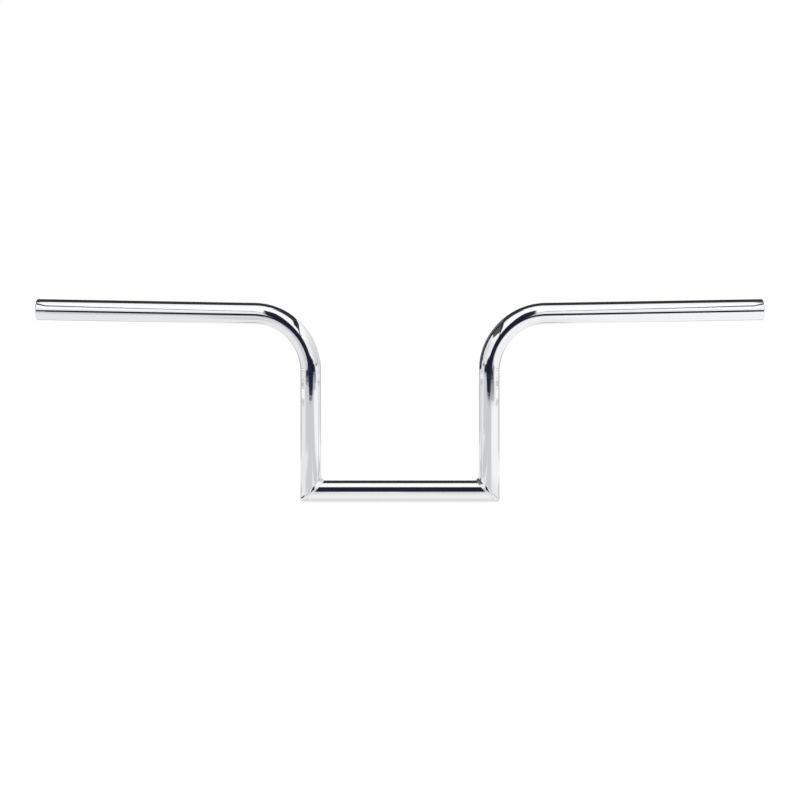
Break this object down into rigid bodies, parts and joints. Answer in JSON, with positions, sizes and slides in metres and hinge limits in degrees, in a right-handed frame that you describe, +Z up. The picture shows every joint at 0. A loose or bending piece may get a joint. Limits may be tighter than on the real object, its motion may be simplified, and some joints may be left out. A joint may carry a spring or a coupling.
{
  "type": "motorcycle handlebar",
  "caption": "Rise handlebar in chrome-plated tube: straight clamp section, upright arms mitred and welded to its ends, each bent outwards into a long swept-back grip with an open end.",
  "frame": {"origin": "middle of the cross tube's axis, the centre of the length that the fork's clamps hold", "axes": "+X along the cross tube towards the right-hand arm as seen from the front of the bar (from -Y), +Z up the risers, +Y the way the grips sweep back"},
  "size_m": [0.8786, 0.0752, 0.2392],
  "materials": {
    "tube": "polished chrome plate on steel tube",
    "weld": "chrome plate on a dressed steel weld bead"
  },
  "bodies": {
    "root": {"cross_tube": "tube", "left_arm": "tube", "right_arm": "tube", "left_weld": "weld", "right_weld": "weld"}
  },
  "joints": []
}
